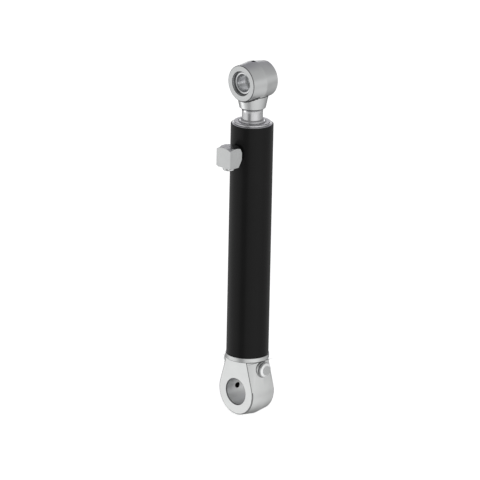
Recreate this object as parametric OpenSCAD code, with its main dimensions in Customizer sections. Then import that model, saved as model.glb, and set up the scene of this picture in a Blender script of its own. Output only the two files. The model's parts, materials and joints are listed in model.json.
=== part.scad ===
// Telescopic hydraulic cylinder, single acting: a plunger and two sleeves nested in a
// barrel, with a forged eye at each end and a port elbow on the side.
// Origin: centre of the base eye bore. +Z runs along the cylinder to the rod eye,
// Y is the axis of both eye bores, and the port elbow is on the -Y side.

/* [Overall] */
// Distance between the eye bores with the cylinder closed
closed_length = 728.6; // [720:0.2:760]
// Height of the barrel's lower end above the base bore
barrel_bottom = 88; // [86:0.5:92]
// Height of the barrel's upper rim above the base bore
barrel_top = 629.6; // [600:0.2:634]

/* [Barrel] */
// Outside diameter of the barrel tube
barrel_od = 96.2; // [94:0.2:97]
// Inside diameter of the barrel tube
barrel_id = 85; // [84.5:0.1:85.5]
// Outside diameter of the head ring's flange, let into the barrel's end
head_flange_od = 91.8; // [90:0.1:92]
// Length of the barrel's head ring
head_length = 86; // [84:1:100]

/* [Sleeves and plunger] */
// Outside diameter of the first sleeve
stage_1_od = 76; // [75.8:0.1:76.2]
// Inside diameter of the first sleeve
stage_1_id = 65; // [64.8:0.1:65.2]
// Diameter of the collar on top of the first sleeve
stage_1_collar_od = 81.8; // [78:0.2:84]
// Outside diameter of the second sleeve
stage_2_od = 58; // [57.8:0.1:58.2]
// Inside diameter of the second sleeve
stage_2_id = 51; // [50.8:0.1:51.2]
// Diameter of the plunger
plunger_d = 47; // [46.8:0.1:47.2]
// Length of the head ring in the first sleeve
stage_1_head_length = 59.3; // [58:0.1:62]
// Length of the head ring in the second sleeve
stage_2_head_length = 56.7; // [56:0.1:60]
// Height of the first sleeve's collar
collar_step = 4.1; // [3:0.1:7]
// Height of the second sleeve's nose above that collar
nose_step = 3.9; // [3:0.1:7]

/* [Base eye] */
// Diameter of the base eye bore
base_bore_d = 60; // [55:1:62]
// Width of the base eye between its two faces
base_width = 70; // [68:0.5:74]
// Diameter of the base eye at its faces
base_face_d = 108.6; // [104:0.2:112]
// Diameter of the base eye at the parting plane
base_mid_d = 117.4; // [113:0.2:120]
// Diameter of the collar under the barrel
base_collar_d = 99; // [96:0.5:100]
// Diameter of the heads of the two side plugs
base_plug_d = 32; // [30:1:34]
// Distance between the outer faces of the two side plugs
base_plug_span = 124; // [122:1:130]

/* [Rod eye] */
// Diameter of the bore through the rod eye's bushes
rod_bore_d = 40; // [35:1:42]
// Width of the rod eye between its two faces
rod_eye_width = 75.8; // [74:0.2:80]
// Diameter of the rod eye at its faces
rod_face_d = 82; // [79:0.2:84]
// Diameter of the rod eye at the parting plane
rod_mid_d = 91.2; // [88:0.2:94]
// Diameter of the recess in each face
recess_d = 55; // [53:0.5:58]
// Depth of the recess in each face
recess_depth = 7; // [5:0.5:9]
// Length of each bush
bush_length = 26; // [24:0.5:27]

/* [Port elbow] */
// Height of the port's axis above the base bore
port_z = 567.5; // [564:0.5:572]
// Width of the elbow's block
elbow_w = 44; // [40:1:46]
// Height of the block's top above the port's axis
elbow_up = 21.5; // [20:0.5:24]
// Depth of the block's underside below the port's axis
elbow_down = 25; // [22:0.5:28]
// Distance of the block's outer face from the cylinder axis
elbow_reach = 89; // [86:0.5:94]
// Distance of the block's inner face from the cylinder axis
elbow_inner = 52; // [51:0.5:54]
// Diameter of the outlet under the block
outlet_d = 28; // [26:0.5:34]
// Diameter of the threaded hole in the outlet
outlet_thread_d = 18.6; // [16:0.2:20]

/* [Hidden] */
$fn = 96;

eps = 0.5;                 // overshoot of cutting tools
metal_gap = 0.4;           // radial gap between a head ring and the tube through it
guide_gap = 0.1;           // radial running gap of guide rings and piston bands
lip_gap = 0.15;            // radial gap of seal and wiper lips
piston_gap = 0.35;         // radial gap between a piston ring and its bore
rest_gap = 0.3;            // height gap under each closed stage
floor_lip = 4;             // thickness of the lip under each sleeve
lip_reach = 5;             // how far that lip reaches into the sleeve's bore
head_proud = 1.4;          // how far the head ring's flange stands out of the barrel
dome_slope = 0.2;          // rise of the barrel's end towards the collar, per unit across
piston_h = 36;             // height of a piston ring
band_h = 14;               // height of a piston band
band_depth = 1.2;          // radial depth of a piston band's groove

// Radii, outermost first
barrel_ro = barrel_od / 2;
barrel_ri = barrel_id / 2;
s1_ro = stage_1_od / 2;
s1_ri = stage_1_id / 2;
s2_ro = stage_2_od / 2;
s2_ri = stage_2_id / 2;
rod_r = plunger_d / 2;

// Heights in the closed cylinder
floor_z = barrel_bottom + 11;
s1_z0 = floor_z + rest_gap;
s2_z0 = s1_z0 + floor_lip + rest_gap;
rod_z0 = s2_z0 + floor_lip + rest_gap;
head_top = barrel_top + head_proud;
s1_top = head_top + collar_step + rest_gap;
s2_top = s1_top + nose_step;
head_z0 = head_top - head_length;
s1_head_z0 = s1_top - stage_1_head_length;
s2_head_z0 = s2_top - stage_2_head_length;
flange_h = 6;              // thickness of the barrel head's flange
s1_seat = head_top + rest_gap;     // underside of the first sleeve's collar
s2_seat = s1_top + rest_gap;       // underside of the second sleeve's nose
s1_socket_r = 35.2;        // bore that takes the first sleeve's head ring
s2_socket_r = 27.3;        // bore that takes the second sleeve's head ring
eye_drop = 60.6;           // from the rod eye's bore down to its neck's lower edge
crease_z = closed_length - eye_drop;

silver = "silver";
steel = "#c9cccf";
chrome = "#dde2e8";
paint = "#1c1d1f";
rubber = "#151515";
bronze = "#b08d57";
polymer = "#2f5d50";

// ---------- shared shapes ----------

// Ring about Z between two heights
module ring_z(ro, ri, z0, z1) {
    translate([0, 0, z0])
        difference() {
            cylinder(r = ro, h = z1 - z0);
            translate([0, 0, -eps]) cylinder(r = ri, h = z1 - z0 + 2 * eps);
        }
}

// Solid or ring about X, from x0 to x1, at height z
module ring_x(ro, ri, x0, x1, z) {
    translate([x0, 0, z]) rotate([0, 90, 0])
        difference() {
            cylinder(r = ro, h = x1 - x0);
            if (ri > 0) translate([0, 0, -eps]) cylinder(r = ri, h = x1 - x0 + 2 * eps);
        }
}

// Cylinder about Y, from y0 to y1, at height z
module rod_y(r, y0, y1, z) {
    translate([0, y0, z]) rotate([-90, 0, 0]) cylinder(r = r, h = y1 - y0);
}

// O-ring about Z: section radius r at pitch radius pitch_r
module oring_z(pitch_r, r, z) {
    translate([0, 0, z]) rotate_extrude() translate([pitch_r, 0]) circle(r = r, $fn = 32);
}

// Eye about Y: widest at the parting plane, drafted to both faces, with a face chamfer c
module drafted_eye(width, face_d, mid_d, c, z) {
    translate([0, 0, z]) rotate([90, 0, 0])
        rotate_extrude()
            polygon([[0, -width / 2], [face_d / 2 - c, -width / 2],
                [face_d / 2, -width / 2 + c], [mid_d / 2, 0], [face_d / 2, width / 2 - c],
                [face_d / 2 - c, width / 2], [0, width / 2]]);
}

// Places of the grooves in a head ring, measured down from its top
wiper_h = 5;
wiper_sunk = 0.2;
wiper_c = 0.5;             // chamfers of a wiper
seal_top = 14;
seal_h = 9;
guide_top = 28;
guide_h = 15;
oring_top = 24;
oring_r = 1.2;
small_oring_r = 0.7;       // the second sleeve's head ring is thinner
oring_play = 0.05;         // radial room over an O-ring
groove_play = 0.1;         // end room of a ring in its groove

// Grooves for wiper, rod seal and guide ring, cut into a head ring's bore
module head_grooves(shaft_r, groove_r, top) {
    ring_z(groove_r, shaft_r - eps, top - wiper_h, top + eps);
    ring_z(groove_r, shaft_r - eps, top - seal_top - seal_h, top - seal_top);
    ring_z(groove_r, shaft_r - eps, top - guide_top - guide_h, top - guide_top);
}

// Groove for the static O-ring on a head ring's outside
module head_oring_groove(body_r, r, top) {
    ring_z(body_r + eps, body_r - 2 * (r + oring_play),
        top - oring_top - 2 * (r + 2 * groove_play), top - oring_top);
}

module head_oring(body_r, r, top) {
    oring_z(body_r - r - oring_play, r, top - oring_top - r - 2 * groove_play);
}

module head_guide(shaft_r, groove_r, top) {
    ring_z(groove_r, shaft_r + guide_gap, top - guide_top - guide_h + groove_play,
        top - guide_top - groove_play);
}

// U-cup rod seal, open towards the oil below
module head_seal(shaft_r, groove_r, top) {
    z1 = top - seal_top - 0.2;
    z0 = z1 - seal_h + 0.5;
    ri = shaft_r + lip_gap;
    mid_r = (ri + groove_r) / 2;
    rotate_extrude()
        polygon([[ri + 0.3, z1], [groove_r, z1], [groove_r, z0 + 1], [groove_r - 0.3, z0],
            [mid_r + 0.25, z0], [mid_r, z0 + 4], [mid_r - 0.25, z0], [ri + 0.1, z0],
            [ri, z0 + 1.5]]);
}

// Wiper with a lip that scrapes the tube. It ends just under the head ring's top, or
// its lip stands proud of it
module head_wiper(shaft_r, groove_r, top, proud = 0) {
    ri = shaft_r + lip_gap;
    z0 = top - wiper_h;
    z1 = top - wiper_sunk;
    lip_z = z1 + proud;
    rotate_extrude()
        polygon([[ri + wiper_c, z0], [groove_r, z0], [groove_r, z1 - wiper_c],
            [groove_r - wiper_c, z1], [ri + wiper_c, lip_z], [ri, lip_z - wiper_c],
            [ri + wiper_c, lip_z - 4 * wiper_c]]);
}

// Ring at a sleeve's lower end: guides it in the bore outside it, stops it at full
// stroke, and carries the next stage on its lip
module piston_ring(bore_r, tube_ro, lip_ri, z0) {
    difference() {
        union() {
            ring_z(bore_r - piston_gap, tube_ro, z0 + floor_lip, z0 + piston_h);
            ring_z(bore_r - piston_gap, lip_ri, z0, z0 + floor_lip);
        }
        ring_z(bore_r + eps, bore_r - piston_gap - band_depth,
            z0 + piston_h / 2 - band_h / 2, z0 + piston_h / 2 + band_h / 2);
    }
}

module piston_band(bore_r, z0) {
    ring_z(bore_r - guide_gap, bore_r - piston_gap - band_depth,
        z0 + piston_h / 2 - band_h / 2 + groove_play,
        z0 + piston_h / 2 + band_h / 2 - groove_play);
}

// ---------- barrel and base ----------

base_eye_chamfer = 1.5;
mouth_c = 1;               // chamfer at each mouth of the base bore
neck_edge_h = 2;           // straight part at the neck's top
forging_fn = 72;           // facets of the forging's round parts
neck_r = 47.5;             // neck of the base forging, under the collar
neck_top = barrel_bottom - 11;
side_z = 59;               // height of the two side plugs
side_boss_r = 18;
side_boss_x = 54;          // machined face of the side bosses
spotface_h = 10;           // how far the spotface cutter clears above that face
side_hole_r = 10;          // threaded hole of a side plug
side_hole_x = 30;          // where the threaded hole ends
seal_t = 2;                // thickness of a plug's sealing washer
plug_c_w = 5;              // bevel on a plug's head, across its face
plug_c_h = 2;              // and along its side
plug_tip_gap = 4;          // room between a plug's tip and the end of its hole
plug_tip_c = 1;
seal_inset = 1;            // how far a sealing washer's edge lies under the plug's head
oil_r = 6;                 // drilled oil ways
base_grease_r = 6.5;
rod_grease_r = 5;          // clears both bushes

module base_eye() {
    color(silver)
        difference() {
            union() {
                hull() {
                    drafted_eye(base_width, base_face_d, base_mid_d, base_eye_chamfer, 0,
                        $fn = forging_fn);
                    intersection() {
                        translate([0, 0, neck_top - neck_edge_h])
                            cylinder(r = neck_r, h = neck_edge_h, $fn = forging_fn);
                        translate([-neck_r, -base_width / 2, neck_top - neck_edge_h])
                            cube([2 * neck_r, base_width, neck_edge_h]);
                    }
                }
                // side bosses, no higher than the neck
                intersection() {
                    ring_x(side_boss_r, 0, -side_boss_x, side_boss_x, side_z);
                    translate([-base_mid_d / 2, -base_width / 2, 0])
                        cube([base_mid_d, base_width, neck_top]);
                }
            }
            // main bore with a small chamfer at each mouth
            rod_y(base_bore_d / 2, -base_width, base_width, 0);
            for (s = [-1, 1])
                scale([1, s, 1]) translate([0, base_width / 2, 0]) rotate([90, 0, 0])
                    translate([0, 0, -eps])
                        cylinder(r1 = base_bore_d / 2 + mouth_c + eps, r2 = base_bore_d / 2,
                            h = mouth_c + eps);
            // spotfaces that trim the bosses and the forging round them flat
            ring_x(side_boss_r, 0, -side_boss_x - spotface_h, -side_boss_x, side_z);
            ring_x(side_boss_r, 0, side_boss_x, side_boss_x + spotface_h, side_z);
            // side holes, the oil way between them and up to the base cap
            ring_x(side_hole_r, 0, -side_boss_x - eps, -side_hole_x, side_z);
            ring_x(side_hole_r, 0, side_hole_x, side_boss_x + eps, side_z);
            ring_x(oil_r, 0, -side_hole_x - eps, side_hole_x + eps, side_z);
            translate([0, 0, side_z]) cylinder(r = oil_r, h = neck_top - side_z + eps);
            // grease hole
            ring_x(base_grease_r, 0, -base_mid_d / 2 - eps, -base_bore_d / 2 + base_grease_r, 0);
        }
}

cap_groove_z = 4;          // height of the cap's O-ring groove in the barrel

// Turned cap between the forging and the barrel: a collar, and a spigot in the barrel
module base_cap() {
    color(silver)
        difference() {
            union() {
                ring_z(base_collar_d / 2, oil_r, neck_top, barrel_bottom);
                ring_z(barrel_ri, oil_r, barrel_bottom - 1, floor_z);
            }
            ring_z(barrel_ri + eps, barrel_ri - 2 * (oring_r + oring_play),
                barrel_bottom + cap_groove_z,
                barrel_bottom + cap_groove_z + 2 * (oring_r + 2 * groove_play));
        }
}

module base_oring() {
    color(rubber)
        oring_z(barrel_ri - oring_r - oring_play, oring_r,
            barrel_bottom + cap_groove_z + oring_r + 2 * groove_play);
}

module side_plug(side) {
    span = base_plug_span / 2;
    head_r = base_plug_d / 2;
    head_x = side_boss_x + seal_t;
    tip_x = side_hole_x + plug_tip_gap;
    color(silver)
        translate([0, 0, side_z]) rotate([0, side * 90, 0])
            rotate_extrude()
                polygon([[0, tip_x], [side_hole_r - plug_tip_c, tip_x],
                    [side_hole_r, tip_x + plug_tip_c], [side_hole_r, head_x],
                    [head_r, head_x], [head_r, span - plug_c_h],
                    [head_r - plug_c_w, span],
                    [0, span]]);
}

module side_plug_seal(side) {
    color(rubber)
        translate([0, 0, side_z]) rotate([0, side * 90, 0])
            ring_z(base_plug_d / 2 - seal_inset, side_hole_r, side_boss_x,
                side_boss_x + seal_t);
}

module base_plug_right() { side_plug(1); }
module base_plug_left() { side_plug(-1); }
module base_plug_seal_right() { side_plug_seal(1); }
module base_plug_seal_left() { side_plug_seal(-1); }

rim_c = 0.3;               // chamfer on the barrel's upper rim
foot_c = 1.5;              // chamfer on the barrel's lower end
head_seat_r = head_flange_od / 2 + 0.1;
port_hole_r = 8;

module barrel_tube() {
    color(paint)
        difference() {
            rotate_extrude()
                polygon([[barrel_ri, barrel_bottom], [barrel_ro - foot_c, barrel_bottom],
                    [barrel_ro, barrel_bottom + foot_c], [barrel_ro, barrel_top - rim_c],
                    [barrel_ro - rim_c, barrel_top],
                    [head_seat_r, barrel_top + (barrel_ro - head_seat_r) * dome_slope],
                    [head_seat_r, head_top - flange_h],
                    [barrel_ri, head_top - flange_h]]);
            rod_y(port_hole_r, -barrel_ro - eps, 0, port_z);
        }
}

groove_depth = 2.6;        // radial depth of the grooves in the outer head rings
head_groove_r = s1_ro + groove_depth;
head_relief_top = port_z + 12;     // top of the oil space inside the head ring

// Head ring: closes the barrel around the first sleeve, and lets oil in below its seals
module barrel_head() {
    flange_r = head_flange_od / 2;
    collar_r = stage_1_collar_od / 2;
    color(steel)
        difference() {
            union() {
                ring_z(barrel_ri, s1_ro + metal_gap, head_z0, head_top - flange_h + 1);
                rotate_extrude()
                    polygon([[s1_ro + metal_gap, head_top - flange_h],
                        [flange_r, head_top - flange_h],
                        [flange_r, head_top - (flange_r - collar_r) * dome_slope],
                        [collar_r, head_top], [s1_ro + metal_gap, head_top]]);
            }
            head_grooves(s1_ro, head_groove_r, head_top);
            head_oring_groove(barrel_ri, oring_r, head_top);
            ring_z(head_groove_r, s1_ro - eps, head_z0 - eps, head_relief_top);
            rod_y(port_hole_r, -barrel_ro, 0, port_z);
        }
}

module barrel_guide_ring() { color(bronze) head_guide(s1_ro, head_groove_r, head_top); }
module barrel_rod_seal() { color(polymer) head_seal(s1_ro, head_groove_r, head_top); }
module barrel_wiper() { color(rubber) head_wiper(s1_ro, head_groove_r, head_top); }
module barrel_head_oring() { color(rubber) head_oring(barrel_ri, oring_r, head_top); }

// ---------- port ----------

boss_r = 17;
half_w = elbow_w / 2;
corner_r = half_w * sqrt(2);
block_mid = (elbow_reach + elbow_inner) / 2;
inner_turn_r = 23;         // turned chamfer on the end facing the barrel
top_turn_r = 19.5;         // turned chamfers on top and underside
foot_turn_r = 24.5;
turn_slope = tan(30);      // drop of those two for each unit across
outlet_h = 7.7;            // how far the outlet stands out under the block
face_oring_r = 1.2;

module port_boss() {
    color(paint)
        difference() {
            rod_y(boss_r, -elbow_inner, -barrel_ro + 6, port_z);
            translate([0, 0, port_z - boss_r - 1])
                cylinder(r = barrel_ro, h = 2 * boss_r + 2);
            rod_y(port_hole_r, -elbow_inner - eps, 0, port_z);
        }
}

// Block with turned ends: each chamfer leaves an arc on the flat faces
module elbow_block() {
    depth = elbow_reach - elbow_inner;
    z0 = port_z - elbow_down;
    z1 = port_z + elbow_up;
    far_r = corner_r + 0.1;    // just past the block's upright edges
    inner_far_r = norm([half_w, elbow_down]) + 0.1;
    intersection() {
        translate([-half_w, -elbow_reach, z0]) cube([elbow_w, depth, elbow_up + elbow_down]);
        translate([0, 0, port_z]) rotate([90, 0, 0])
            rotate_extrude()
                polygon([[0, elbow_inner], [inner_turn_r, elbow_inner],
                    [inner_far_r, elbow_inner + inner_far_r - inner_turn_r],
                    [inner_far_r, elbow_reach + 1], [0, elbow_reach + 1]]);
        translate([0, -block_mid, 0])
            rotate_extrude()
                polygon([[0, z0], [foot_turn_r, z0],
                    [far_r, z0 + (far_r - foot_turn_r) * turn_slope],
                    [far_r, z1 - (far_r - top_turn_r) * turn_slope],
                    [top_turn_r, z1], [0, z1]]);
    }
}

outlet_z = port_z - elbow_down - outlet_h;
outlet_depth = 18;         // length of the threaded hole
outlet_c = 1.6;

module port_elbow() {
    color(silver)
        difference() {
            union() {
                elbow_block();
                translate([0, -block_mid, 0])
                    rotate_extrude()
                        polygon([[0, outlet_z], [outlet_d / 2 - outlet_c, outlet_z],
                            [outlet_d / 2, outlet_z + outlet_c],
                            [outlet_d / 2, port_z - elbow_down + 1],
                            [0, port_z - elbow_down + 1]]);
            }
            rod_y(port_hole_r, -block_mid, 0, port_z);
            translate([0, -block_mid, outlet_z - eps]) {
                cylinder(r = outlet_thread_d / 2, h = outlet_depth + eps);
                cylinder(r = port_hole_r - 1, h = port_z - outlet_z);
            }
            // groove for the face O-ring
            translate([0, -elbow_inner, port_z]) rotate([90, 0, 0])
                ring_z(port_hole_r + 4.9, port_hole_r + 2, -eps, 2 * face_oring_r);
        }
}

module elbow_oring() {
    color(rubber)
        translate([0, -elbow_inner, port_z]) rotate([90, 0, 0])
            oring_z(port_hole_r + 3.45, face_oring_r, face_oring_r);
}

// ---------- first sleeve ----------

module stage_1_tube() {
    color(chrome)
        difference() {
            ring_z(s1_ro, s1_ri, s1_z0 + floor_lip, s1_seat);
            ring_z(s1_socket_r, s1_ri - eps, s1_head_z0, s1_seat + eps);
        }
}

s1_groove_r = s2_ro + groove_depth;
collar_c = 0.7;            // chamfer on the collar

module stage_1_head() {
    collar_r = stage_1_collar_od / 2;
    color(steel)
        difference() {
            union() {
                ring_z(s1_socket_r, s2_ro + metal_gap, s1_head_z0, s1_top);
                rotate_extrude()
                    polygon([[s2_ro + metal_gap, s1_seat], [collar_r, s1_seat],
                        [collar_r, s1_top - collar_c], [collar_r - collar_c, s1_top],
                        [s2_ro + metal_gap, s1_top]]);
            }
            head_grooves(s2_ro, s1_groove_r, s1_top);
            head_oring_groove(s1_socket_r, oring_r, s1_top);
        }
}

module stage_1_guide_ring() { color(bronze) head_guide(s2_ro, s1_groove_r, s1_top); }
module stage_1_rod_seal() { color(polymer) head_seal(s2_ro, s1_groove_r, s1_top); }
module stage_1_wiper() { color(rubber) head_wiper(s2_ro, s1_groove_r, s1_top); }
module stage_1_head_oring() { color(rubber) head_oring(s1_socket_r, oring_r, s1_top); }
module stage_1_piston() {
    color(steel) piston_ring(barrel_ri, s1_ro, s1_ri - lip_reach, s1_z0);
}
module stage_1_piston_band() { color(bronze) piston_band(barrel_ri, s1_z0); }

// ---------- second sleeve ----------

module stage_2_tube() {
    color(chrome)
        difference() {
            ring_z(s2_ro, s2_ri, s2_z0 + floor_lip, s2_seat);
            ring_z(s2_socket_r, s2_ri - eps, s2_head_z0, s2_seat + eps);
        }
}

s2_groove_r = rod_r + 2;
nose_c_w = 2.4;            // taper of the nose, across
nose_c_h = 2.9;            // and in height
lip_proud = 2.4;           // how far the wiper's lip stands out of the nose

module stage_2_head() {
    color(steel)
        difference() {
            union() {
                ring_z(s2_socket_r, rod_r + metal_gap, s2_head_z0, s2_top);
                rotate_extrude()
                    polygon([[rod_r + metal_gap, s2_seat], [s2_ro, s2_seat],
                        [s2_ro, s2_top - nose_c_h], [s2_ro - nose_c_w, s2_top],
                        [rod_r + metal_gap, s2_top]]);
            }
            head_grooves(rod_r, s2_groove_r, s2_top);
            head_oring_groove(s2_socket_r, small_oring_r, s2_top);
        }
}

module stage_2_guide_ring() { color(bronze) head_guide(rod_r, s2_groove_r, s2_top); }
module stage_2_rod_seal() { color(polymer) head_seal(rod_r, s2_groove_r, s2_top); }
module stage_2_wiper() {
    color(rubber) head_wiper(rod_r, s2_groove_r, s2_top, lip_proud);
}
module stage_2_piston() {
    color(steel) piston_ring(s1_ri, s2_ro, s2_ri - lip_reach, s2_z0);
}
module stage_2_piston_band() { color(bronze) piston_band(s1_ri, s2_z0); }
module stage_2_head_oring() {
    color(rubber) head_oring(s2_socket_r, small_oring_r, s2_top);
}

// ---------- plunger and rod eye ----------

spigot_r = 18;             // turned end of the plunger inside its piston ring
tenon_r = 15;              // locating tenon in the rod eye's neck
tenon_h = 14;

module plunger_rod() {
    color(chrome) {
        translate([0, 0, rod_z0 + piston_h])
            cylinder(r = rod_r, h = crease_z - rod_z0 - piston_h);
        translate([0, 0, rod_z0]) cylinder(r = spigot_r, h = piston_h + 1);
        translate([0, 0, crease_z - 1]) cylinder(r = tenon_r, h = tenon_h + 1);
    }
}

module plunger_piston() {
    color(steel)
        difference() {
            ring_z(s2_ri - piston_gap, spigot_r, rod_z0, rod_z0 + piston_h);
            ring_z(s2_ri + eps, s2_ri - piston_gap - band_depth,
                rod_z0 + piston_h / 2 - band_h / 2, rod_z0 + piston_h / 2 + band_h / 2);
        }
}
module plunger_piston_band() { color(bronze) piston_band(s2_ri, rod_z0); }

weld_h = 11;               // height of the weld fillet under the rod eye
weld_steps = 8;
neck_foot_r = 29.6;        // rod eye's neck at its lower edge
neck_head_r = 34.8;        // rod eye's neck at the end of its taper
neck_taper_h = 24;         // height of the taper
neck_h = 38;               // height of the whole neck, ending inside the eye
bush_ro = 25;
rod_eye_chamfer = 1.5;

// Fillet from the plunger out to the neck, a quarter of a hollow curve
module rod_eye_weld() {
    w = neck_foot_r - rod_r;
    color(silver)
        rotate_extrude()
            polygon(concat([[rod_r, crease_z]],
                [for (i = [0 : weld_steps]) let(a = i * 90 / weld_steps)
                    [rod_r + w * (1 - sin(a)), crease_z - weld_h * (1 - cos(a))]]));
}

module rod_eye() {
    face = rod_eye_width / 2;
    color(silver)
        difference() {
            union() {
                drafted_eye(rod_eye_width, rod_face_d, rod_mid_d, rod_eye_chamfer,
                    closed_length);
                translate([0, 0, crease_z])
                    rotate_extrude()
                        polygon([[0, 0], [neck_foot_r, 0], [neck_head_r, neck_taper_h],
                            [neck_head_r, neck_h], [0, neck_h]]);
            }
            rod_y(bush_ro, -face - eps, face + eps, closed_length);
            rod_y(recess_d / 2, -face - eps, -face + recess_depth, closed_length);
            rod_y(recess_d / 2, face - recess_depth, face + eps, closed_length);
            translate([0, 0, crease_z - eps]) cylinder(r = tenon_r, h = tenon_h + eps);
            translate([0, 0, closed_length]) rotate([0, 0, 45])
                cylinder(r = rod_grease_r, h = rod_mid_d);
        }
}

module rod_bush(side) {
    inner = rod_eye_width / 2 - recess_depth - bush_length;
    color(steel)
        scale([1, side, 1]) translate([0, inner, closed_length]) rotate([-90, 0, 0])
            difference() {
                cylinder(r = bush_ro, h = bush_length);
                translate([0, 0, -eps]) cylinder(r = rod_bore_d / 2, h = bush_length + 2 * eps);
            }
}
module rod_bush_front() { rod_bush(-1); }
module rod_bush_rear() { rod_bush(1); }

base_eye();
base_cap();
barrel_tube();
barrel_head();
barrel_guide_ring();
barrel_rod_seal();
barrel_wiper();
barrel_head_oring();
base_oring();
port_boss();
port_elbow();
elbow_oring();
base_plug_right();
base_plug_left();
base_plug_seal_right();
base_plug_seal_left();
stage_1_tube();
stage_1_head();
stage_1_guide_ring();
stage_1_rod_seal();
stage_1_wiper();
stage_1_head_oring();
stage_1_piston();
stage_1_piston_band();
stage_2_tube();
stage_2_head();
stage_2_guide_ring();
stage_2_rod_seal();
stage_2_wiper();
stage_2_head_oring();
stage_2_piston();
stage_2_piston_band();
plunger_rod();
plunger_piston();
plunger_piston_band();
rod_eye();
rod_eye_weld();
rod_bush_front();
rod_bush_rear();
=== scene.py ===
import json
import math

import bmesh
import bpy
from mathutils import Matrix, Vector

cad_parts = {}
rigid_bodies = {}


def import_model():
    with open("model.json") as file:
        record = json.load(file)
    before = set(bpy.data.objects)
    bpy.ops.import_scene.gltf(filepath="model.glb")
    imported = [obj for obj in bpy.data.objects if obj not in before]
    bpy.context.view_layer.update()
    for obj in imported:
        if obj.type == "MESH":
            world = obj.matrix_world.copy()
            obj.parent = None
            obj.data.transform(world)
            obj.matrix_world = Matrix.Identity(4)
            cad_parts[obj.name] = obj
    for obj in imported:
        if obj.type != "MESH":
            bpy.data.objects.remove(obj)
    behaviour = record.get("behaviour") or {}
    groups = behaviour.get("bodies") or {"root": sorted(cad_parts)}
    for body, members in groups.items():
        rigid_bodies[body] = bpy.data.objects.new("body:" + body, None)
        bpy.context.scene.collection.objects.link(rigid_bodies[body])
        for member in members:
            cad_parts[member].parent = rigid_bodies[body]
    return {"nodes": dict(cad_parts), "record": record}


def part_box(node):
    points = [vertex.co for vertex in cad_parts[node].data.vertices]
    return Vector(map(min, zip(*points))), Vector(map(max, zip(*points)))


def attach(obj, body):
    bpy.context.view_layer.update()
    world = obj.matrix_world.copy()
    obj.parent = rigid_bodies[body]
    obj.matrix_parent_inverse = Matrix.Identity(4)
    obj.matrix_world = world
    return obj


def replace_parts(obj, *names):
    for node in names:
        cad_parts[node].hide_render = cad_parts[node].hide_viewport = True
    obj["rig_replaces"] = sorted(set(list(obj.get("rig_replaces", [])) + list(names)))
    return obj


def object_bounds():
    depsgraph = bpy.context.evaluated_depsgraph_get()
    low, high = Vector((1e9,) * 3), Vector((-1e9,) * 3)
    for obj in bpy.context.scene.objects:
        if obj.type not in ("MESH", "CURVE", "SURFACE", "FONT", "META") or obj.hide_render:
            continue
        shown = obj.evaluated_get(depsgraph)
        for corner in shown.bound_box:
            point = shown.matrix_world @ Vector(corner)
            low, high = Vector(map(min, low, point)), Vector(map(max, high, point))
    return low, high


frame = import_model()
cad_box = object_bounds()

# Lengths are in millimetres until a mesh is written, as in the CAD source.
MM = 0.001
LATHE_STEPS = 192
SHARP_DEG = 32             # edges sharper than this stay crisp
EDGE_LIMIT = 2.0           # roundings up to this radius take the edge material, painted dark edge shade on most pieces
# material places: faces, rounded edges (painted edge shade on most pieces), an odd face (painted
# hole shade by default), a bore's wall, the painted shadow in the crease under the eye
BODY, EDGE, SPARE, WALL, SHADED_CREASE = range(5)

record = frame["record"]
slot_of = {s["node"]: s["material_slot"] for s in record["subparts"]}
body_of = {node: body for body, nodes in record["behaviour"]["bodies"].items() for node in nodes}


def span(node):
    """Lowest and highest corner of a CAD node, in millimetres."""
    lo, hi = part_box(node)
    return lo / MM, hi / MM


# ---------------------------------------------------------------- materials

def shader(name):
    mat = bpy.data.materials.new(name)
    mat.use_nodes = True
    return mat, mat.node_tree.nodes, mat.node_tree.links, mat.node_tree.nodes["Principled BSDF"]


def metal(name, color, roughness, grain=900.0, grain_depth=0.00002, blotch=0.03,
          stretch=(1.0, 1.0, 1.0)):
    """Bare or plated metal: slight blotches in tone and gloss, and a fine surface grain."""
    mat, nodes, links, bsdf = shader(name)
    coords = nodes.new("ShaderNodeTexCoord")
    mapping = nodes.new("ShaderNodeMapping")
    mapping.inputs["Scale"].default_value = stretch
    links.new(coords.outputs["Object"], mapping.inputs["Vector"])
    cloud = nodes.new("ShaderNodeTexNoise")
    cloud.inputs["Scale"].default_value = 35.0
    cloud.inputs["Detail"].default_value = 5.0
    links.new(coords.outputs["Object"], cloud.inputs["Vector"])
    tone = nodes.new("ShaderNodeValToRGB")
    tone.color_ramp.elements[0].position = 0.3
    tone.color_ramp.elements[1].position = 0.7
    tone.color_ramp.elements[0].color = (*[c * (1 - blotch) for c in color], 1)
    tone.color_ramp.elements[1].color = (*[min(1.0, c * (1 + blotch)) for c in color], 1)
    links.new(cloud.outputs["Fac"], tone.inputs["Fac"])
    links.new(tone.outputs["Color"], bsdf.inputs["Base Color"])
    gloss = nodes.new("ShaderNodeMapRange")
    gloss.inputs["From Min"].default_value = 0.3
    gloss.inputs["From Max"].default_value = 0.7
    gloss.inputs["To Min"].default_value = roughness * 0.9
    gloss.inputs["To Max"].default_value = roughness * 1.12
    links.new(cloud.outputs["Fac"], gloss.inputs["Value"])
    links.new(gloss.outputs["Result"], bsdf.inputs["Roughness"])
    fine = nodes.new("ShaderNodeTexNoise")
    fine.inputs["Scale"].default_value = grain
    fine.inputs["Detail"].default_value = 3.0
    links.new(mapping.outputs["Vector"], fine.inputs["Vector"])
    bump = nodes.new("ShaderNodeBump")
    bump.inputs["Distance"].default_value = grain_depth
    bump.inputs["Strength"].default_value = 0.6
    links.new(fine.outputs["Fac"], bump.inputs["Height"])
    links.new(bump.outputs["Normal"], bsdf.inputs["Normal"])
    bsdf.inputs["Metallic"].default_value = 1.0
    return mat


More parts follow.
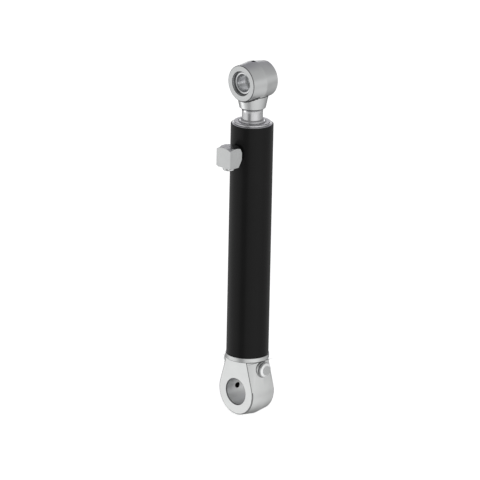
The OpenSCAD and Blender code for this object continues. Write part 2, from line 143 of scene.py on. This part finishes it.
def coat(name, color, roughness, specular, peel_scale=500.0):
    """Paint, rubber or plastic: uneven gloss and a fine surface texture."""
    mat, nodes, links, bsdf = shader(name)
    bsdf.inputs["Specular IOR Level"].default_value = specular
    coords = nodes.new("ShaderNodeTexCoord")
    cloud = nodes.new("ShaderNodeTexNoise")
    cloud.inputs["Scale"].default_value = 25.0
    cloud.inputs["Detail"].default_value = 6.0
    links.new(coords.outputs["Object"], cloud.inputs["Vector"])
    tone = nodes.new("ShaderNodeValToRGB")
    tone.color_ramp.elements[0].color = (*[c * 0.85 for c in color], 1)
    tone.color_ramp.elements[1].color = (*[c * 1.15 for c in color], 1)
    links.new(cloud.outputs["Fac"], tone.inputs["Fac"])
    links.new(tone.outputs["Color"], bsdf.inputs["Base Color"])
    gloss = nodes.new("ShaderNodeMapRange")
    gloss.inputs["To Min"].default_value = roughness * 0.85
    gloss.inputs["To Max"].default_value = roughness * 1.2
    links.new(cloud.outputs["Fac"], gloss.inputs["Value"])
    links.new(gloss.outputs["Result"], bsdf.inputs["Roughness"])
    peel = nodes.new("ShaderNodeTexNoise")
    peel.inputs["Scale"].default_value = peel_scale
    links.new(coords.outputs["Object"], peel.inputs["Vector"])
    bump = nodes.new("ShaderNodeBump")
    bump.inputs["Distance"].default_value = 0.00002
    bump.inputs["Strength"].default_value = 0.5
    links.new(peel.outputs["Fac"], bump.inputs["Height"])
    links.new(bump.outputs["Normal"], bsdf.inputs["Normal"])
    return mat


ROUND_TURNED = (1.0, 1.0, 12.0)   # turning marks run round the axis

# painted shade: a darkened copy of the steel for rounded edges and recess floors, in place of the
# dark reflections and shade there
edge_shade_paint = metal("painted edge shade steel", (0.16, 0.16, 0.165), 0.42)
wall_steel = metal("recess steel", (0.62, 0.63, 0.63), 0.42)
bore_steel = metal("machined bore steel", (0.72, 0.73, 0.73), 0.42)
# painted shadow: near black for the shade the eye casts on the neck below it
crease_shadow_paint = metal("shaded crease", (0.07, 0.07, 0.072), 0.50)
elbow_steel = metal("elbow steel", (0.62, 0.63, 0.63), 0.20)
disc_steel = metal("plug head steel", (0.62, 0.63, 0.63), 0.26)
# painted highlight: a lighter copy of the plug head steel for its bevel
plug_bevel_highlight = metal("plug bevel painted highlight", (0.90, 0.91, 0.91), 0.26)
washer_steel = metal("bonded washer", (0.30, 0.30, 0.31), 0.40)
# painted shade: near black for the shade inside drilled holes
hole_shade_paint = coat("painted hole shade", (0.006, 0.006, 0.006), 0.6, 0.1)
base_steel = metal("base forging steel", (0.75, 0.76, 0.755), 0.36)
cap_steel = metal("base cap steel", (0.68, 0.69, 0.685), 0.30, stretch=ROUND_TURNED)
wiper_grey = coat("wiper", (0.07, 0.07, 0.075), 0.5, 0.3)
nose_grey = coat("wiper lip", (0.30, 0.30, 0.31), 0.35, 0.5)
MATERIALS = {
    "forged_steel": metal("forged steel", (0.62, 0.63, 0.63), 0.34),
    "barrel_paint": coat("black paint", (0.007, 0.007, 0.007), 0.20, 0.14),
    "machined_steel": metal("machined steel", (0.64, 0.64, 0.655), 0.24, stretch=ROUND_TURNED),
    "chrome_tube": metal("hard chrome", (0.64, 0.64, 0.65), 0.16, blotch=0.015,
                         stretch=ROUND_TURNED),
    "weld_steel": metal("weld steel", (0.64, 0.64, 0.65), 0.24),
    "bush_steel": metal("bush steel", (0.80, 0.81, 0.82), 0.30),
    "rubber": coat("nitrile rubber", (0.012, 0.012, 0.012), 0.55, 0.4),
    "seal_polymer": coat("polyurethane", (0.03, 0.13, 0.11), 0.40, 0.5),
    "bronze": metal("bearing bronze", (0.55, 0.38, 0.17), 0.35),
}


# ---------------------------------------------------------------- mesh tools

def fillet(corners, steps=4):
    """A closed outline from corners (r, z, radius): each corner becomes an arc of that radius.

    Gives points, and for each point whether the line from it to the next is part of an arc.
    """
    points = []
    count = len(corners)
    for i, (x, y, radius) in enumerate(corners):
        here = Vector((x, y))
        before = Vector(corners[i - 1][:2]) - here
        after = Vector(corners[(i + 1) % count][:2]) - here
        turn = before.angle(after, 0)
        if radius <= 0 or turn < 0.01 or turn > math.pi - 0.01:
            points.append((here, False))
            continue
        reach = min(radius / math.tan(turn / 2), 0.45 * before.length, 0.45 * after.length)
        radius = reach * math.tan(turn / 2)
        middle = here + (before.normalized() + after.normalized()).normalized() * (
            radius / math.sin(turn / 2))
        start = here + before.normalized() * reach - middle
        end = here + after.normalized() * reach - middle
        sweep = start.angle_signed(end)
        for k in range(steps + 1):
            points.append((middle + Matrix.Rotation(-sweep * k / steps, 2) @ start,
                           k < steps and corners[i][2] <= EDGE_LIMIT))
    return points


def lathe_into(bm, outline, place=None, steps=LATHE_STEPS):
    """Turns a closed outline of (r, z) points about Z, then moves it by the matrix place."""
    place = place or Matrix.Identity(4)
    rings = []
    for (x, z), _ in outline:
        if x < 1e-6:
            rings.append([bm.verts.new(place @ Vector((0, 0, z)))])
        else:
            rings.append([bm.verts.new(place @ Vector((x * math.cos(a), x * math.sin(a), z)))
                          for a in (2 * math.pi * k / steps for k in range(steps))])
    for i, low in enumerate(rings):
        high = rings[(i + 1) % len(rings)]
        if len(low) == 1 and len(high) == 1:
            continue
        for k in range(steps):
            n = (k + 1) % steps
            if len(low) == 1:
                face = bm.faces.new((low[0], high[k], high[n]))
            elif len(high) == 1:
                face = bm.faces.new((low[k], high[0], low[n]))
            else:
                face = bm.faces.new((low[k], high[k], high[n], low[n]))
            face.material_index = EDGE if outline[i][1] else BODY


def new_object(name, mesh_maker):
    """A mesh object from a bmesh in millimetres."""
    mesh = bpy.data.meshes.new(name)
    bm = bmesh.new()
    mesh_maker(bm)
    bmesh.ops.scale(bm, vec=(MM, MM, MM), verts=bm.verts)
    bmesh.ops.recalc_face_normals(bm, faces=bm.faces)
    bm.to_mesh(mesh)
    bm.free()
    # default finishes: body, painted edge shade, painted hole shade, recess wall
    for mat in (MATERIALS["forged_steel"], edge_shade_paint, hole_shade_paint, wall_steel):
        mesh.materials.append(mat)
    obj = bpy.data.objects.new(name, mesh)
    bpy.context.scene.collection.objects.link(obj)
    return obj


def lathe(name, corners, place=None, steps=LATHE_STEPS):
    """A turned piece from corners (r, z, fillet radius)."""
    return new_object(name, lambda bm: lathe_into(bm, fillet(corners), place, steps))


def combine(obj, other, operation):
    """obj with the other added or cut away; the other is used up."""
    change = obj.modifiers.new("combine", "BOOLEAN")
    change.operation = operation
    change.solver = "EXACT"
    change.object = other
    change.material_mode = "INDEX"
    ready = obj.evaluated_get(bpy.context.evaluated_depsgraph_get())
    mesh = bpy.data.meshes.new_from_object(ready)
    obj.modifiers.clear()
    obj.data = mesh
    bpy.data.objects.remove(other)
    return obj


def smooth(obj, sharp_deg=SHARP_DEG):
    """Smooth shading, with sharp edges kept crisp and flat faces kept flat."""
    mesh = obj.data
    bm = bmesh.new()
    bm.from_mesh(mesh)
    for face in bm.faces:
        face.smooth = True
    for edge in bm.edges:
        edge.smooth = len(edge.link_faces) == 2 and edge.calc_face_angle() < math.radians(sharp_deg)
    bm.to_mesh(mesh)
    bm.free()
    flat = obj.modifiers.new("flat faces stay flat", "WEIGHTED_NORMAL")
    flat.keep_sharp = True
    return obj


def along_y(y=0.0, z=0.0, side=1):
    """Turns a piece's own Z to +Y (side 1) or -Y (side -1), starting at y, at height z."""
    return Matrix.Translation((0, y, z)) @ Matrix.Rotation(-side * math.pi / 2, 4, "X")


def along_x(z=0.0, side=1):
    """Turns a piece's own Z to +X or -X, at height z."""
    return Matrix.Translation((0, 0, z)) @ Matrix.Rotation(side * math.pi / 2, 4, "Y")


def dress(obj, node, body_mat=None, edge_mat=None, spare_mat=None):
    """Gives a piece its finish, its body and the CAD node it stands for."""
    obj.data.materials[BODY] = body_mat or MATERIALS[slot_of[node]]
    # by default rounded edges get painted edge shade and the spare place painted hole shade
    obj.data.materials[EDGE] = edge_mat or edge_shade_paint
    obj.data.materials[SPARE] = spare_mat or hole_shade_paint
    smooth(obj)
    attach(obj, body_of[node])
    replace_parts(obj, node)
    return obj


# ---------------------------------------------------------------- turned parts

bore_r = 42.5              # barrel's bore
DOME_SLOPE = 0.2           # rise of the barrel's end towards the collar
METAL_GAP = 0.4            # between a head ring and the shaft through it
FLANGE_H = 6.0             # flange of the barrel's head ring
END_GAP = 0.1              # between that flange and the barrel
LIP_GAP = 0.15             # between a wiper's lip and its shaft
WIPER_C = 0.5              # chamfers of a wiper
WIPER_SUNK = 0.2           # wiper's shoulder below the head ring's top
NOSE_TAPER_W, NOSE_TAPER_H = 2.4, 2.9
BORE_1, SOCKET_1 = 32.5, 35.2     # first sleeve: bore, and socket for its head ring
BORE_2, SOCKET_2 = 25.5, 27.3     # second sleeve
OIL_R = 6.0                # drilled oil way
PISTON_SEAT_R, PISTON_SEAT_H = 18.0, 36.0    # turned-down foot of the plunger
SPIGOT_R = 15.0            # rod's spigot in the rod eye
tube_lo, tube_hi = span("barrel_tube")
head_lo, head_hi = span("barrel_head")
flange_seat = head_hi.z - FLANGE_H
barrel_r, flange_r = tube_hi.x, head_hi.x
rim_z = tube_hi.z - (barrel_r - flange_r) * DOME_SLOPE
collar_r = span("stage_1_head")[1].x
bare_r = 45.2              # the paint laps over the end face down to this radius

barrel = lathe("barrel_tube_look", [
    (bore_r, tube_lo.z, 0.3), (barrel_r, tube_lo.z, 1.5), (barrel_r, rim_z, 0.3),
    (bare_r, rim_z + (barrel_r - bare_r) * DOME_SLOPE, 0), (flange_r + END_GAP, tube_hi.z, 0.1),
    (flange_r + END_GAP, flange_seat, 0), (bore_r, flange_seat, 0.3)])
for face in barrel.data.polygons:
    at = face.center / MM
    if at.z > rim_z and math.hypot(at.x, at.y) < bare_r:
        face.material_index = SPARE          # the bare end face inside the paint
dress(barrel, "barrel_tube", edge_mat=MATERIALS["barrel_paint"],
      spare_mat=MATERIALS["machined_steel"])


def head_look(node, shaft_node, wiper_node, outside):
    """Head ring from its outer corners, bottom to top; the groove at the top takes the wiper."""
    lo, hi = span(node)
    hole = span(shaft_node)[1].x + METAL_GAP
    wiper_lo, wiper_hi = span(wiper_node)
    dress(lathe(node + "_look", [(hole, lo.z, 0.3)] + outside + [
        (wiper_hi.x, hi.z, 0.2), (wiper_hi.x, wiper_lo.z, 0), (hole, wiper_lo.z, 0.2)]), node)


seat_1, top_1 = span("stage_1_tube")[1].z, span("stage_1_head")[1].z
seat_2, top_2 = span("stage_2_tube")[1].z, span("stage_2_head")[1].z
nose_r = span("stage_2_head")[1].x
head_look("barrel_head", "stage_1_tube", "barrel_wiper", [
    (bore_r, head_lo.z, 0.6), (bore_r, flange_seat, 0), (flange_r, flange_seat, 0.3),
    (flange_r, tube_hi.z, 0.1), (collar_r, head_hi.z, 0)])
head_look("stage_1_head", "stage_2_tube", "stage_1_wiper", [
    (SOCKET_1, span("stage_1_head")[0].z, 0.6), (SOCKET_1, seat_1, 0), (collar_r, seat_1, 0.4),
    (collar_r, top_1, 0.8)])
head_look("stage_2_head", "plunger_rod", "stage_2_wiper", [
    (SOCKET_2, span("stage_2_head")[0].z, 0.6), (SOCKET_2, seat_2, 0), (nose_r, seat_2, 0.2),
    (nose_r, top_2 - NOSE_TAPER_H, 0.8), (nose_r - NOSE_TAPER_W, top_2, 0.3)])


def wiper_look(node, shaft_node, head_node):
    """Wiper with a lip on the shaft, flush with the head ring's top or proud of it."""
    lo, hi = span(node)
    lip = span(shaft_node)[1].x + LIP_GAP
    shoulder = span(head_node)[1].z - WIPER_SUNK
    corners = [(lip + WIPER_C, lo.z, 0.1), (hi.x, lo.z, 0.1), (hi.x, shoulder - WIPER_C, 0.1),
               (hi.x - WIPER_C, shoulder, 0.1), (lip + WIPER_C, hi.z, 0.1),
               (lip, hi.z - WIPER_C, 0.1), (lip + WIPER_C, hi.z - 4 * WIPER_C, 0.1)]
    mat = wiper_grey if node == "barrel_wiper" else nose_grey
    dress(lathe(node + "_look", corners), node, mat, mat)


wiper_look("barrel_wiper", "stage_1_tube", "barrel_head")
wiper_look("stage_1_wiper", "stage_2_tube", "stage_1_head")
wiper_look("stage_2_wiper", "plunger_rod", "stage_2_head")

for sleeve, inner_r, socket_r, head in (("stage_1_tube", BORE_1, SOCKET_1, "stage_1_head"),
                                        ("stage_2_tube", BORE_2, SOCKET_2, "stage_2_head")):
    lo, hi = span(sleeve)
    head_foot = span(head)[0].z
    dress(lathe(sleeve + "_look", [
        (inner_r, lo.z, 0.3), (hi.x, lo.z, 0.6), (hi.x, hi.z, 0.4), (socket_r, hi.z, 0.3),
        (socket_r, head_foot, 0), (inner_r, head_foot, 0.3)]), sleeve,
        edge_mat=MATERIALS["chrome_tube"])

rod_lo, rod_hi = span("plunger_rod")
crease_z = span("rod_eye")[0].z
rod_r = rod_hi.x
seat_top = rod_lo.z + PISTON_SEAT_H
dress(lathe("plunger_rod_look", [
    (0, rod_lo.z, 0), (PISTON_SEAT_R, rod_lo.z, 0.5), (PISTON_SEAT_R, seat_top, 0),
    (rod_r, seat_top, 0.6), (rod_r, crease_z, 0), (SPIGOT_R, crease_z, 0),
    (SPIGOT_R, rod_hi.z, 0.8), (0, rod_hi.z, 0)]),
    "plunger_rod", edge_mat=MATERIALS["chrome_tube"])

weld_lo, weld_hi = span("rod_eye_weld")
neck_foot_r = weld_hi.x
WELD_STEPS = 8
weld_curve = []
for step in range(WELD_STEPS + 1):
    turn = math.radians(90 * step / WELD_STEPS)
    weld_curve.append((rod_r + (neck_foot_r - rod_r) * (1 - math.sin(turn)),
                       weld_hi.z - (weld_hi.z - weld_lo.z) * (1 - math.cos(turn)), 0))
dress(lathe("rod_eye_weld_look", weld_curve + [(rod_r - 0.3, weld_lo.z, 0),
                                               (rod_r - 0.3, weld_hi.z, 0)]), "rod_eye_weld")

cap_lo, cap_hi = span("base_cap")
dress(lathe("base_cap_look", [
    (OIL_R, cap_lo.z, 0.5), (cap_hi.x, cap_lo.z, 1.3), (cap_hi.x, tube_lo.z, 0.7),
    (bore_r, tube_lo.z, 0), (bore_r, cap_hi.z, 0.8), (OIL_R, cap_hi.z, 0.5)]), "base_cap",
    cap_steel)

# ---------------------------------------------------------------- plugs in the base

PLUG_BEVEL_W, PLUG_BEVEL_H = 5.0, 2.0
SHANK_R, SHANK_C = 10.0, 1.0       # threaded shank of a plug, and the chamfer at its tip
for side, node in ((1, "base_plug_right"), (-1, "base_plug_left")):
    lo, hi = span(node)
    plug_z = (lo.z + hi.z) / 2
    head_r = (hi.z - lo.z) / 2
    face_x = max(abs(lo.x), abs(hi.x))
    root_x = min(abs(lo.x), abs(hi.x))
    seat_x = span("base_plug_seal_right")[1].x
    plug = lathe(node + "_look", [
        (0, root_x, 0), (SHANK_R - SHANK_C, root_x, 0), (SHANK_R, root_x + SHANK_C, 0),
        (SHANK_R, seat_x, 0),
        (head_r, seat_x, 0.3), (head_r, face_x - PLUG_BEVEL_H, 0.5),
        (head_r - PLUG_BEVEL_W, face_x, 0.4), (0, face_x, 0)], along_x(plug_z, side))
    for face in plug.data.polygons:
        if abs(face.center.x) / MM > face_x - PLUG_BEVEL_H and 0.2 < abs(face.normal.x) < 0.98:
            face.material_index = SPARE      # painted highlight on the bevel round the head
    dress(plug, node, disc_steel, disc_steel, plug_bevel_highlight)

# ---------------------------------------------------------------- rod eye

eye_z = next(m for m in record["mounts"] if m["name"] == "rod_eye_bore")["pos_m"][2] / MM
eye_hi = span("rod_eye")[1]
half_w = eye_hi.y
mid_r = eye_hi.x
face_r = 41.0              # eye's radius at its faces
bush_lo, bush_hi = span("rod_bush_rear")
bush_ro = bush_hi.x
bush_ri = 20.0
recess_r = 27.5            # recess in each face
recess_y = bush_hi.y       # and its floor
neck_r = 34.8              # neck above its taper
ROD_GREASE_R, BASE_GREASE_R = 5.0, 6.5
NECK_RINGS = 24            # rings in the neck's taper, so that the painted crease shadow can follow the eye
NECK_H = 24                # height of that taper
CREASE_W = 2.4             # width of the painted shadow in the crease under the eye
CREASE_TOP = 30            # the painted crease shadow starts this far below the eye's axis
HUB_DROP = 28              # neck's top below the eye's axis, inside the eye
DRILL_LOW, DRILL_OVER = 30, 4     # drill's reach: above the eye's axis, and past its top


def rod_eye_look():
    """Drafted eye with recessed faces, on a tapered neck, and a grease hole from the top."""
    eye = [(bush_ro, recess_y, 0), (recess_r, recess_y, 0), (recess_r, half_w, 1.0),
           (face_r, half_w, 1.5), (mid_r, 0, 5), (face_r, -half_w, 1.5),
           (recess_r, -half_w, 1.0), (recess_r, -recess_y, 0), (bush_ro, -recess_y, 0)]
    obj = lathe("rod_eye_look", eye, along_y(0, eye_z))
    taper = [(neck_foot_r + (neck_r - neck_foot_r) * k / NECK_RINGS,
              crease_z + NECK_H * k / NECK_RINGS, 0) for k in range(1, NECK_RINGS)]
    upright = [(neck_r, crease_z + NECK_H + 2 * k, 0) for k in range(4)]
    neck = lathe("neck", [(0, crease_z, 0), (neck_foot_r, crease_z, 0.9)] + taper + upright + [
        (neck_r, eye_z - HUB_DROP, 0), (0, eye_z - HUB_DROP, 0)])
    combine(obj, neck, "UNION")
    low, high = eye_z + DRILL_LOW, eye_hi.z + DRILL_OVER
    drill = lathe("drill", [(0, low, 0), (ROD_GREASE_R, low, 0), (ROD_GREASE_R, high, 0),
                            (0, high, 0)], steps=48)
    # the drilled hole's wall takes the spare finish, painted dark hole shade
    for face in drill.data.polygons:
        face.material_index = SPARE
    return combine(obj, drill, "DIFFERENCE")


def over_eye(at):
    """Height of a point over the eye's drafted outside."""
    side = min(1.0, abs(at.y) / half_w)
    return math.hypot(at.x, at.z - eye_z) - (mid_r + (face_r - mid_r) * side)


eye_obj = rod_eye_look()
for face in eye_obj.data.polygons:
    at = face.center / MM
    away = math.hypot(at.x, at.z - eye_z)
    if at.z < eye_z - CREASE_TOP and 0.05 < over_eye(at) < CREASE_W and face.normal.z > -0.9:
        face.material_index = SHADED_CREASE         # painted shadow in the crease between eye and neck
    elif abs(away - recess_r) < 0.2 and abs(at.y) < half_w - 0.9:
        face.material_index = WALL           # wall of a recess
    elif abs(abs(at.y) - recess_y) < 0.2 and away < recess_r:
        face.material_index = EDGE           # floor of a recess, painted dark edge shade
eye_obj.data.materials.append(crease_shadow_paint)
dress(eye_obj, "rod_eye")

for node, side in (("rod_bush_front", -1), ("rod_bush_rear", 1)):
    inner = bush_lo.y
    dress(lathe(node + "_look", [
        (bush_ri, inner, 0.5), (bush_ro, inner, 0.6), (bush_ro, recess_y, 0.8),
        (bush_ri, recess_y, 1.0)], along_y(0, eye_z, side)), node)

# ---------------------------------------------------------------- forgings shown from the CAD


BEVEL_DEG = 30             # edges sharper than this are rounded


def bevelled(node, width, body_mat=None, edge_mat=None, wall_mat=None):
    """A CAD node shown as it is, with its sharp edges rounded."""
    obj = frame["nodes"][node]
    obj.data.materials.clear()
    for mat in (body_mat or MATERIALS[slot_of[node]], edge_mat or edge_shade_paint, hole_shade_paint,
                wall_mat or wall_steel):
        obj.data.materials.append(mat)
    for polygon in obj.data.polygons:
        polygon.use_smooth = True
    weld = obj.modifiers.new("weld", "WELD")
    weld.merge_threshold = 1e-6
    flat = obj.modifiers.new("merge flat faces", "DECIMATE")
    flat.decimate_type = "DISSOLVE"
    flat.angle_limit = math.radians(0.3)
    bevel = obj.modifiers.new("rounded edges", "BEVEL")
    bevel.width = width * MM
    bevel.segments = 2
    bevel.limit_method = "ANGLE"
    bevel.angle_limit = math.radians(BEVEL_DEG)
    # rounded edges take the edge material, painted dark edge shade unless edge_mat gives another
    # finish
    bevel.material = EDGE
    bevel.use_clamp_overlap = False
    normals = obj.modifiers.new("flat faces stay flat", "WEIGHTED_NORMAL")
    normals.keep_sharp = True
    return obj


BASE_BORE_R = 30.0
GREASE_NEAR, BORE_NEAR = 0.2, 0.5    # how far past a hole's radius a face counts as its wall
shown = {o["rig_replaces"][0] for o in bpy.context.scene.objects if "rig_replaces" in o}
for node, obj in frame["nodes"].items():
    if node in shown:
        continue
    if node == "base_eye":
        bevelled(node, 0.9, body_mat=base_steel, wall_mat=bore_steel)
        for face in obj.data.polygons:
            at = face.center / MM
            if at.x < 0 and math.hypot(at.y, at.z) < BASE_GREASE_R + GREASE_NEAR:
                face.material_index = SPARE  # inside of the grease hole, painted dark shade
            elif math.hypot(at.x, at.z) < BASE_BORE_R + BORE_NEAR:
                face.material_index = WALL   # machined bore
    elif node == "port_elbow":
        bevelled(node, 0.5, body_mat=elbow_steel, edge_mat=elbow_steel)
    elif node.startswith("base_plug_seal"):
        obj.data.materials.clear()
        obj.data.materials.append(washer_steel)
    else:
        obj.data.materials.clear()
        obj.data.materials.append(MATERIALS[slot_of[node]])

# ---------------------------------------------------------------- studio

floor_z = cad_box[0].z - 0.0005


def make_floor():
    def disc(bm):
        bmesh.ops.create_circle(bm, cap_ends=True, radius=40000, segments=96,
                                matrix=Matrix.Translation((0, 0, floor_z / MM)))
    floor = new_object("floor", disc)
    floor.data.materials.clear()
    mat, nodes, links, bsdf = shader("pale floor")
    bsdf.inputs["Base Color"].default_value = (0.9, 0.9, 0.9, 1)
    bsdf.inputs["Roughness"].default_value = 0.9
    bsdf.inputs["Emission Color"].default_value = (1, 1, 1, 1)
    bsdf.inputs["Emission Strength"].default_value = 0.62
    floor.data.materials.append(mat)
    floor.visible_glossy = False


def make_world():
    """Soft studio walls: brightness by direction round the object and by height."""
    world = bpy.data.worlds.new("studio")
    bpy.context.scene.world = world
    world.use_nodes = True
    nodes, links = world.node_tree.nodes, world.node_tree.links
    back = nodes["Background"]
    coords = nodes.new("ShaderNodeTexCoord")
    split = nodes.new("ShaderNodeSeparateXYZ")
    links.new(coords.outputs["Generated"], split.inputs["Vector"])
    # turns from 0 to 1 once round, with 0.5 towards the camera side (+X -Y)
    turn = nodes.new("ShaderNodeVectorRotate")
    turn.rotation_type = "Z_AXIS"
    turn.inputs["Angle"].default_value = math.radians(45)
    links.new(coords.outputs["Generated"], turn.inputs["Vector"])
    turned = nodes.new("ShaderNodeSeparateXYZ")
    links.new(turn.outputs["Vector"], turned.inputs["Vector"])
    angle = nodes.new("ShaderNodeMath")
    angle.operation = "ARCTAN2"
    links.new(turned.outputs["Y"], angle.inputs[0])
    links.new(turned.outputs["X"], angle.inputs[1])
    share = nodes.new("ShaderNodeMapRange")
    share.inputs["From Min"].default_value = -math.pi
    share.inputs["From Max"].default_value = math.pi
    links.new(angle.outputs[0], share.inputs["Value"])

    def ramp_of(levels, source):
        node = nodes.new("ShaderNodeValToRGB")
        ramp = node.color_ramp
        while len(ramp.elements) < len(levels):
            ramp.elements.new(0.5)
        for element, (place, *rgb) in zip(ramp.elements, levels):
            element.position = place
            element.color = (*(rgb if len(rgb) == 3 else rgb * 3), 1)
        links.new(source, node.inputs["Fac"])
        return node.outputs["Color"]

    def band(levels):
        """Brightness round the object: (degrees right of the camera, brightness or colour)."""
        return ramp_of([((a + 180) / 360, *level) for a, *level in levels],
                       share.outputs["Result"])

    def over(lower, upper, z0, z1):
        """The upper band over the lower one, changing between two heights on the unit sphere."""
        rise = nodes.new("ShaderNodeMapRange")
        rise.interpolation_type = "SMOOTHSTEP"
        rise.inputs["From Min"].default_value = z0
        rise.inputs["From Max"].default_value = z1
        links.new(split.outputs["Z"], rise.inputs["Value"])
        mix = nodes.new("ShaderNodeMix")
        mix.data_type = "RGBA"
        links.new(rise.outputs["Result"], mix.inputs["Factor"])
        links.new(lower, mix.inputs["A"])
        links.new(upper, mix.inputs["B"])
        return mix.outputs["Result"]

    low = band([(-180, 0.12), (-124, 0.14), (-109, 2.3), (-96, 2.0), (-76, 0.95), (-50, 0.75),
                (-38, 0.50), (-22, 0.55), (-5, 0.95), (40, 1.0), (90, 0.85), (120, 0.55),
                (180, 0.12)])
    side = band([(-180, 0.15), (-150, 0.35), (-118, 0.78), (-85, 0.91), (-62, 0.84), (-50, 0.60),
                 (-42, 0.30), (-22, 0.30), (-13, 0.72), (0, 0.86), (25, 1.02), (50, 1.02),
                 (75, 0.74), (100, 0.56), (128, 0.48), (150, 0.28), (180, 0.15)])
    horizon = band([(-180, 1.6), (-155, 1.4), (-125, 0.75), (-75, 0.8), (0, 0.82), (75, 0.92),
                    (125, 0.68), (155, 1.4), (180, 1.6)])
    high = band([(-180, 0.34, 0.33, 0.36), (-100, 0.54), (-60, 0.62), (-42, 0.32), (-22, 0.32),
                 (-10, 0.58), (60, 0.72), (100, 0.56), (180, 0.34, 0.33, 0.36)])
    walls = over(low, side, -0.50, -0.38)
    walls = over(walls, horizon, -0.20, -0.08)
    walls = over(walls, high, 0.19, 0.27)
    links.new(walls, back.inputs["Color"])


def make_camera():
    """A long lens from far off, in front of the +X -Y corner and a little above."""
    distance, lens = 11.0, 365.2
    azimuth, elevation, roll = math.radians(45.04), math.radians(17.94), math.radians(1.178)
    target = Vector((0, 0, 0.300))
    back = Vector((math.sin(azimuth) * math.cos(elevation),
                   -math.cos(azimuth) * math.cos(elevation), math.sin(elevation)))
    cam = bpy.data.objects.new("camera", bpy.data.cameras.new("camera"))
    bpy.context.scene.collection.objects.link(cam)
    cam.data.lens = lens
    cam.data.sensor_width = 36
    cam.data.clip_end = 200
    turn = (-back).to_track_quat("-Z", "Y").to_matrix().to_4x4() @ Matrix.Rotation(roll, 4, "Z")
    # the aim point lies a little right of and below the middle of the frame
    aside = Vector((-0.02085, 0.05203, 0))
    cam.matrix_world = Matrix.Translation(target + back * distance + turn.to_3x3() @ aside) @ turn
    bpy.context.scene.camera = cam


make_floor()
make_world()
make_camera()
bpy.context.scene.view_settings.view_transform = "Standard"
